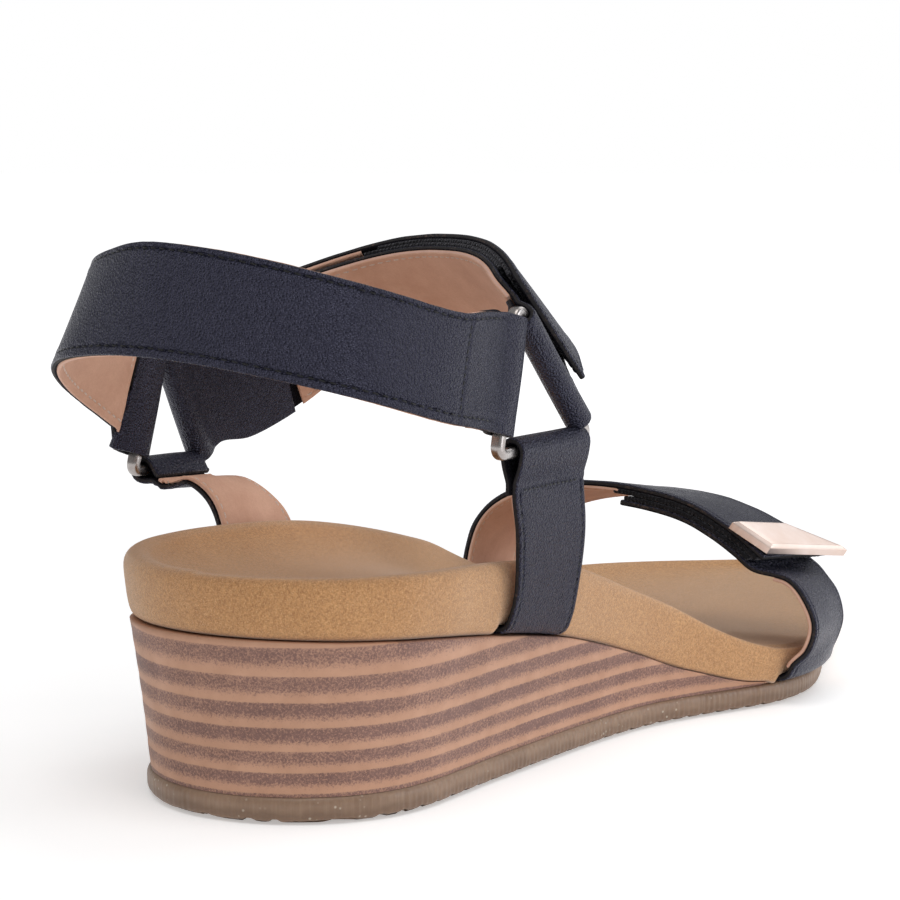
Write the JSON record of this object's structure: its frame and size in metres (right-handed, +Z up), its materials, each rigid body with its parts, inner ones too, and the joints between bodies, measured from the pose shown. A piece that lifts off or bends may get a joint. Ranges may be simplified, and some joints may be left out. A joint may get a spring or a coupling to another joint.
{
  "type": "wedge sandal",
  "caption": "Right-foot wedge sandal with a moulded footbed, a hook-and-loop toe strap with a metal plate, and an ankle cuff hung on triangular rings.",
  "frame": {"origin": "middle of the bounding box, on the ground", "axes": "+X from the heel to the toe, +Y towards the wearer's left, the big-toe side, +Z up"},
  "size_m": [0.266, 0.0976, 0.1061],
  "materials": {
    "outsole": "satin translucent crepe",
    "wedge": "matte, printed to look like stacked leather",
    "board": "matte fibre board",
    "core": "matte foam",
    "suede": "matte nubuck",
    "leather": "satin, fine grain",
    "lining": "matte",
    "tape": "matte pile",
    "steel": "bright nickel plate",
    "gold": "satin champagne plate"
  },
  "bodies": {
    "shoe": {"outsole": "outsole", "wedge": "wedge", "insole_board": "board", "footbed_core": "core", "footbed_cover": "suede", "lateral_strap": "leather", "lateral_strap_lining": "lining", "medial_strap": "leather", "medial_strap_lining": "lining", "lateral_ring": "steel", "medial_ring": "steel", "heel_strap": "leather", "heel_strap_lining": "lining", "toe_flap_root": "leather", "toe_flap_root_lining": "lining", "toe_tab": "leather", "toe_tab_lining": "lining", "toe_loop_tape": "tape"},
    "instep_tab": {"instep_tab": "leather", "instep_tab_lining": "lining", "instep_loop_tape": "tape"},
    "instep_flap": {"instep_flap": "leather", "instep_flap_lining": "lining", "instep_hook_tape": "tape"},
    "toe_flap": {"toe_flap": "leather", "toe_flap_lining": "lining", "toe_hook_tape": "tape", "ornament_plate": "gold"}
  },
  "joints": [
    {"name": "instep_tab_hinge", "type": "hinge", "parent": "shoe", "child": "instep_tab", "pos_m": [-0.05593, -0.03832, 0.0796], "axis": [-0.6854, 0, 0.7282], "range_deg": [0, 30]},
    {"name": "instep_flap_hinge", "type": "hinge", "parent": "shoe", "child": "instep_flap", "pos_m": [-0.06833, 0.04443, 0.0713], "axis": [-0.5426, -0.1399, 0.8282], "range_deg": [0, 110]},
    {"name": "toe_flap_hinge", "type": "hinge", "parent": "shoe", "child": "toe_flap", "pos_m": [0.04297, 0.04268, 0.0265], "axis": [-0.9831, -0.1501, 0.1051], "range_deg": [0, 75]}
  ]
}
